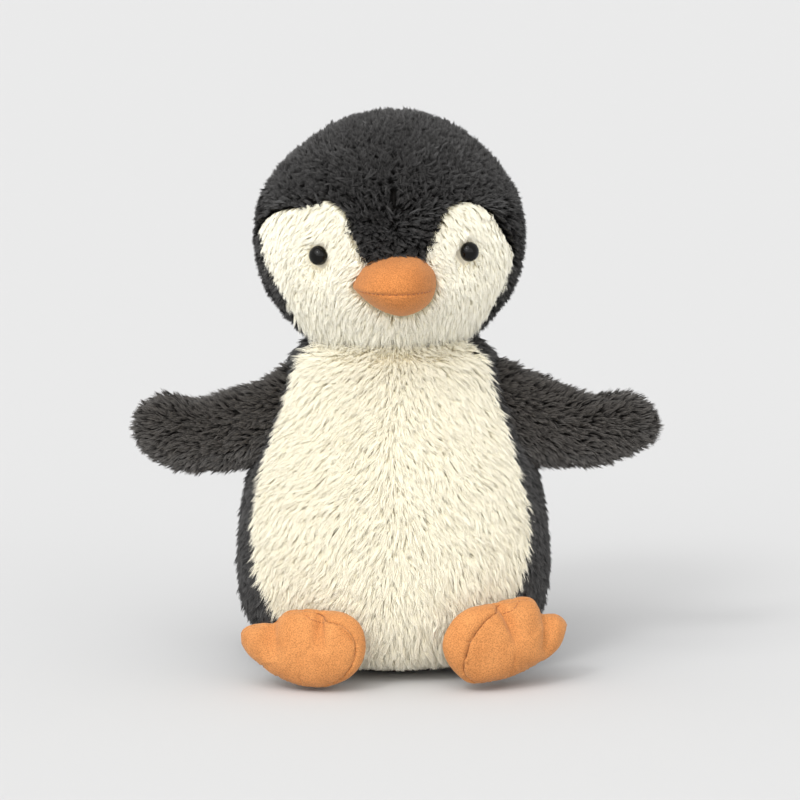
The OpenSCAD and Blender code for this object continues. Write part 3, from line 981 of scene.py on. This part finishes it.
def head_flow(points, normal):
    """The lie of the pile on the head."""
    side = np.sign(points[:, 0])
    rel = (points - HEAD_C) / MM
    face = face_side(points)
    outward = np.where(side < 0, 0.75, 0.40) * np.clip((rel[:, 2] + 34) / 30, 0.15, 1)
    way = np.stack([side * outward, np.zeros(len(points)), -np.ones(len(points))], 1)
    rise = np.clip((rel[:, 2] - 22) / 14, -1, 1)
    crown_way = np.stack([(0.12 + 0.3 * (1 - np.abs(rise))) * side, 0.5 * rise, rise], 1)
    way = np.where(face[:, None], way, crown_way)
    beak = (points - BEAK_C) * np.array([1, 0, 1])
    away = np.linalg.norm(beak, axis=1)
    pull = np.clip(1 - (away / MM - 13) / 9, 0, 1) * face
    way = unit(way) + (0.9 * pull)[:, None] * unit(beak)
    for centre in eyes.values():
        d = near_axis(points, centre)
        out = points - HEAD_C - ((points - HEAD_C) @ centre)[:, None] * centre
        push = 0.9 * np.clip(1 - (d / MM - 4) / 4, 0, 1) * (rel[:, 1] < 0)
        way = way + push[:, None] * unit(out)
    flow = tangent(way, normal)
    swirl = np.where(face, 0.16, 0.28) * drift(points, 17 * MM, 5)
    swirl += np.where(face, 0.05, 0.16) * drift(points, 6 * MM, 6)
    return turn_by(flow, normal, swirl), face


def grow_head(density_front, density_back):
    r = np.random.default_rng(41)
    area = 4 * math.pi * (HEAD_R / MM) ** 2
    d = unit(r.normal(size=(int(area * density_front), 3)))
    thinned = (d[:, 1] < 0.25) | (r.random(len(d)) < density_back / density_front)
    d = d[(d[:, 2] > math.sin(math.radians(HEAD_FOOT))) & thinned]
    root = head_skin_points(d)
    flow, face = head_flow(root, d)
    ahead = root + flow * (3.4 * MM)
    white = face_side(ahead)
    for kind, chosen in (("face", white), ("crown", ~white)):
        for side_name, side in SIDES:
            mine = chosen & (root[:, 0] * side > 0)
            p, n, f = root[mine], d[mine], flow[mine]
            if kind == "face":
                close = np.min([near_axis(p, centre) for centre in eyes.values()], 0)
                flat = np.clip((close / MM - 1) / 8, 0.6, 1)
                low = np.clip((HEAD_C[2] - 18 * MM - p[:, 2]) / (16 * MM), 0, 1)
                length = (5.6 + 3.8 * low * r.uniform(0, 1.2, len(p))) * MM * flat
                lean = 1.16 - 0.40 * low**2 + 0.5 * (1 - flat)
                shape, tone = strands(p, n, f, length, 0.27 * MM, lean, 8, 11 + side, gather=0.32, mess=0.13)
            else:
                low = np.clip((NECK_Z + 14 * MM - p[:, 2]) / (14 * MM), 0, 1)
                length, lean = (5.2 + 2.6 * low) * MM, 0.44 + 0.3 * low
                shape, tone = strands(p, n, f, length, 0.38 * MM, lean, 7, 21 + side,
                                      gather=0.62, curl=0.24, mess=0.45)
            tip, base = shape[:, TIP], shape[:, ROOT]
            bad = in_beak(base, -1.2) | in_beak(tip, -1.6)
            for centre in eyes.values():
                bad |= (near_axis(base, centre) < EYE_R + 0.5 * MM) & (base[:, 1] < 0)
                for spot in (tip, *(base + share * (tip - base) for share in (0.3, 0.6, 0.8))):
                    bad |= (near_axis(spot, centre) < EYE_R + 0.2 * MM) & (tip[:, 1] < 0)
            bad |= (tip[:, 2] < NECK_Z) & (np.hypot(tip[:, 0], tip[:, 1]) < torso_radius(tip[:, 2]) - 5 * MM)
            pile(f"{kind}_pile_{side_name}", "head", shape[~bad], tone[~bad], kind)


def grow_torso(density_front, density_back):
    r = np.random.default_rng(43)
    zs = np.linspace(0.5 * MM, NECK_Z, 400)
    weight = torso_radius(zs) * np.sqrt(1 + torso_slope(zs) ** 2)
    total = weight.sum() * (zs[1] - zs[0]) * 2 * math.pi / MM**2
    spread = np.cumsum(weight) / weight.sum()
    count = int(total * density_front)
    z = np.interp(r.random(count), spread, zs)
    angle = r.uniform(-math.pi, math.pi, count)
    keep = (np.abs(angle) < 1.9) | (r.random(count) < density_back / density_front)
    z, angle = z[keep], angle[keep]
    slope = torso_slope(z)
    around = np.stack([np.sin(angle), -np.cos(angle), np.zeros(len(z))], 1)
    normal = unit(around + np.stack([0 * z, 0 * z, -slope], 1))
    root = around * torso_radius(z)[:, None] + np.stack([0 * z, 0 * z, z], 1) - normal * PILE
    root[:, 2] = np.maximum(root[:, 2], FLOOR_CLEAR + 0.2 * MM)
    side = np.sign(angle)
    off = np.abs(angle) * 60
    spreading = np.where(side < 0, 0.68, 0.42) * np.interp(z / MM, [0, 40, 90, 137], [0.25, 0.6, 1, 0.8])
    spreading *= np.tanh(off / np.interp(z / MM, [100, 137], [3.5, 14]))
    spreading = np.where(np.abs(angle) < 1.3, spreading, 0.15)
    way = np.stack([side * np.cos(angle) * spreading, np.abs(np.sin(angle)) * spreading, -np.ones(len(z))], 1)
    flow = tangent(way, normal)
    flow = turn_by(flow, normal, 0.20 * drift(root, 22 * MM, 8) + 0.08 * drift(root, 8 * MM, 9))
    white = in_belly(root + flow * (5 * MM))
    raised = (z > NECK_Z - 5 * MM) & (r.random(len(z)) < 0.6)
    flow[raised] *= -1
    feet = [tree_of(o) for pair in foot_parts.values() for o in pair]
    for kind, chosen in (("belly", white), ("back", ~white)):
        for side_name, s in SIDES:
            mine = chosen & (side == s)
            p, n, f, out = root[mine], normal[mine], flow[mine], off[mine]
            short = np.clip(p[:, 2] / (14 * MM), 0.45, 1) * np.where(raised[mine], 0.65, 1)
            if kind == "belly":
                top = np.clip((p[:, 2] - NECK_Z + 16 * MM) / (14 * MM), 0, 1)
                shape, tone = strands(p, n, f, 8.4 * MM * short, 0.27 * MM, 1.20 - 0.30 * top, 6, 31 + s,
                                      gather=0.42)
            else:
                shape, tone = strands(p, n, f, 7.0 * MM * short, 0.46 * MM, 1.06, 5, 35 + s,
                                      gather=0.5, curl=0.12, mess=0.25)
            base, tip = shape[:, ROOT], shape[:, TIP]
            d = tip - HEAD_C
            bad = np.linalg.norm(d, axis=1) < head_radius(unit(d)) - PILE - 2 * MM
            low = (base[:, 2] < 45 * MM) & (base[:, 1] < -20 * MM)
            spots = np.nonzero(low & ~bad)[0]
            bad[spots] |= blocked(shape[spots], feet, 0.5 * MM)
            flank = (np.abs(base[:, 0]) > 30 * MM) & (np.abs(base[:, 1] - WING_Y) < 14 * MM)
            spots = np.nonzero(flank & ~bad)[0]
            bad[spots] |= blocked(shape[spots], list(wing_trees.values()), 0.2 * MM)
            pile(f"{kind}_pile_{side_name}", "torso", shape[~bad], tone[~bad], kind)


def grow_wings(density):
    r = np.random.default_rng(47)
    for side_name, side in SIDES:
        count = int(2 * 74 * 56 * density)
        share, angle = r.random(count), r.uniform(0, 2 * math.pi, count)
        e = 1e-3
        p = wing_surface(side, share, angle, PILE)
        ahead, behind = (wing_surface(side, s, angle, PILE) for s in (np.minimum(share + e, 1), share - e))
        above, below = (wing_surface(side, share, a, PILE) for a in (angle + e, angle - e))
        normal = np.cross(ahead - behind, above - below)
        size = np.linalg.norm(normal, axis=1)
        keep = r.random(count) < size / np.quantile(size, 0.97)
        share, angle, p, normal = share[keep], angle[keep], p[keep], unit(normal[keep])
        top, bottom, _ = wing_section(side, p[:, 0])
        core = np.stack([p[:, 0] - 4 * MM, 0 * p[:, 0] + WING_Y, (top + bottom) / 2], 1)
        inward = np.sum(normal * (p - core), 1) < 0
        normal = np.where(inward[:, None], -normal, normal)
        tipward = np.stack([np.ones(len(p)), np.zeros(len(p)), 0.6 * np.sin(angle) - 0.12], 1)
        flow = tangent(tipward, normal)
        flow = turn_by(flow, normal, 0.22 * drift(p, 15 * MM, 13) + 0.1 * drift(p, 6 * MM, 14))
        clear = np.hypot(p[:, 0], p[:, 1]) > torso_radius(p[:, 2]) - PILE - 1 * MM
        p, normal, flow = p[clear], normal[clear], flow[clear]
        mirror = np.array([side, 1, 1])
        p, normal, flow = p * mirror, normal * mirror, flow * mirror
        for half, front in (("front", True), ("back", False)):
            mine = (p[:, 1] < WING_Y) == front
            shape, tone = strands(p[mine], normal[mine], flow[mine], 6.8 * MM, 0.45 * MM, 0.90, 5,
                                  51 + side + 3 * front, gather=0.55, mess=0.2)
            pile(f"wing_{half}_pile_{side_name}", f"wing_{side_name}", shape, tone, "wing")


# Strands per square mm, at the front and, where it differs, at the back
HEAD_STRANDS = (5.6, 2.0)
TORSO_STRANDS = (5.2, 1.7)
WING_STRANDS = 4.0
grow_head(*HEAD_STRANDS)
grow_torso(*TORSO_STRANDS)
grow_wings(WING_STRANDS)

# ---- Seams, base, label ----

ring = np.linspace(0, 2 * math.pi, 241)
neck_r = torso_radius(NECK_Z) - PILE + 0.2 * MM
path = np.stack([neck_r * np.cos(ring), neck_r * np.sin(ring), np.full(len(ring), NECK_Z)], 1)
seam = stitch_row("neck_stitches", path, path * np.array([1, 1, 0]), 3.2 * MM, 4.4 * MM, 0.45 * MM, 0.4 * MM)
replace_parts(dress(bend_with(seam, "head"), cream_thread), "neck_seam")
for side_name, side in SIDES:
    lo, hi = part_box(f"wing_seam_{side_name}")
    z = np.linspace(lo.z, hi.z, 30)
    r = torso_radius(z) - 1.2 * MM
    path = np.stack([side * np.sqrt(r**2 - WING_Y**2), 0 * z + WING_Y, z], 1)
    row = stitch_row(f"wing_stitches_{side_name}", path, path * np.array([1, 0, 0]), 3.0 * MM, 4.0 * MM,
                     0.45 * MM, 0.3 * MM)
    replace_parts(dress(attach(row, f"wing_seam_{side_name}"), black_thread),
                f"wing_seam_{side_name}")

base_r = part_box("base_panel")[1].x + 1.0 * MM
rings, cols = 26, 96
points, faces = [], []
for k in range(rings + 1):
    r = base_r * k / rings
    for t in full_turn(cols):
        ripple = 0.12 * MM * math.sin(24 * t) * max(0, k / rings - 0.8) * 5
        points.append((r * math.cos(t), r * math.sin(t), FLOOR_CLEAR + 0.2 * MM + ripple))
disc = mesh_object("base_cloth", points, [tuple(reversed(f)) for f in grid_faces(rings + 1, cols)])
join_points(disc, 1e-6)
thicken(disc, 1.6 * MM, way=1)
points = points_of(disc)
points[:, 2] += FLOOR_CLEAR - points[:, 2].min()
set_points(disc, points)
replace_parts(dress(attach(disc, "torso"), black_cloth), "base_panel")

# A blank tab of satin tape, folded once, caught in the back seam and lying against the pile
tab_lo, tab_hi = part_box("care_label")
TAB_W, TAB_L, TAB_T = 18 * MM, 44 * MM, 0.25 * MM
TAB_TURN = math.radians(-11)
tab_out = TORSO_R + 1.7 * MM
cols, rows = 60, 14
points = []
for k in range(cols + 1):
    s = -1 + 2 * k / cols
    out = 1 - abs(s)
    gap = math.copysign(0.45 * MM * min(1, 3 * math.sqrt(abs(s))), s) if s else 0
    along = (out - 0.5) * TAB_L / 2
    away = tab_out + gap + 0.9 * MM * out**2 - 2.6 * MM * (1 - out) ** 6
    for j in range(rows + 1):
        w = j / rows - 0.5
        wave = 0.25 * MM * math.sin(5 * out + 4 * w) * out
        v = away + wave
        points.append((along * math.cos(TAB_TURN) - v * math.sin(TAB_TURN),
                       along * math.sin(TAB_TURN) + v * math.cos(TAB_TURN),
                       (tab_lo.z + tab_hi.z) / 2 + w * TAB_W - 0.8 * MM * out**2))
tab = mesh_object("care_tab", points, grid_faces(cols + 1, rows + 1, closed=False))
thicken(tab, TAB_T)
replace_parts(dress(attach(tab, "torso"), label_cloth), "care_label")

# ---- CAD nodes that stay as they are, inside ----

INSIDE = {
    "neck_filling": (fibre, "filling"), "body_filling": (fibre, "filling"),
    "pellet_pouch": (pouch_cloth, "pouch"), "pellets": (pellet_plastic, "pellets"),
    "eye_washer_left": (washer_plastic, "washer"), "eye_washer_right": (washer_plastic, "washer")}
for node, (look, slot) in INSIDE.items():
    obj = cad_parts[node]
    for place in obj.material_slots:
        place.link = "OBJECT"
        place.material = look

# ---- Stage ----

floor_mesh = bpy.data.meshes.new("floor")
floor_mesh.from_pydata([(-30, -30, 0), (30, -30, 0), (30, 30, 0), (-30, 30, 0)], [], [(0, 1, 2, 3)])
floor = add_object("floor", floor_mesh)
paper = Pattern("paper", 0.9, Specular_IOR_Level=0.1)
paper.shader.inputs["Base Color"].default_value = (0.585, 0.585, 0.585, 1)
floor.data.materials.append(paper.material)

world = bpy.data.worlds.new("studio")
world.use_nodes = True
world.node_tree.nodes["Background"].inputs["Color"].default_value = (1, 1, 1, 1)
world.node_tree.nodes["Background"].inputs["Strength"].default_value = 0.83
bpy.context.scene.world = world


def sun(name, azimuth, elevation, strength, angle):
    light = bpy.data.lights.new(name, "SUN")
    light.energy = strength
    light.angle = math.radians(angle)
    obj = bpy.data.objects.new(name, light)
    a, e = math.radians(azimuth), math.radians(elevation)
    back = Vector((math.sin(a) * math.cos(e), -math.cos(a) * math.cos(e), math.sin(e)))
    obj.rotation_mode = "QUATERNION"
    obj.rotation_quaternion = back.to_track_quat("Z", "Y")
    bpy.context.scene.collection.objects.link(obj)


sun("key", -30, 42, 1.6, 60)
sun("front", 10, 3, 1.7, 90)
sun("sparkle", -30, 40, 0.6, 12)

camera = bpy.data.objects.new("camera", bpy.data.cameras.new("camera"))
camera.data.lens = 199.5
camera.data.sensor_width = 36
camera.data.clip_start, camera.data.clip_end = 0.05, 100
aim = Vector((0.0027, 0, 0.109))
tilt = math.radians(8)
back = Vector((0, -math.cos(tilt), math.sin(tilt)))
camera.location = aim + back * 1.84
camera.rotation_mode = "QUATERNION"
camera.rotation_quaternion = back.to_track_quat("Z", "Y")
bpy.context.scene.collection.objects.link(camera)
bpy.context.scene.camera = camera
bpy.context.scene.view_settings.view_transform = "Standard"
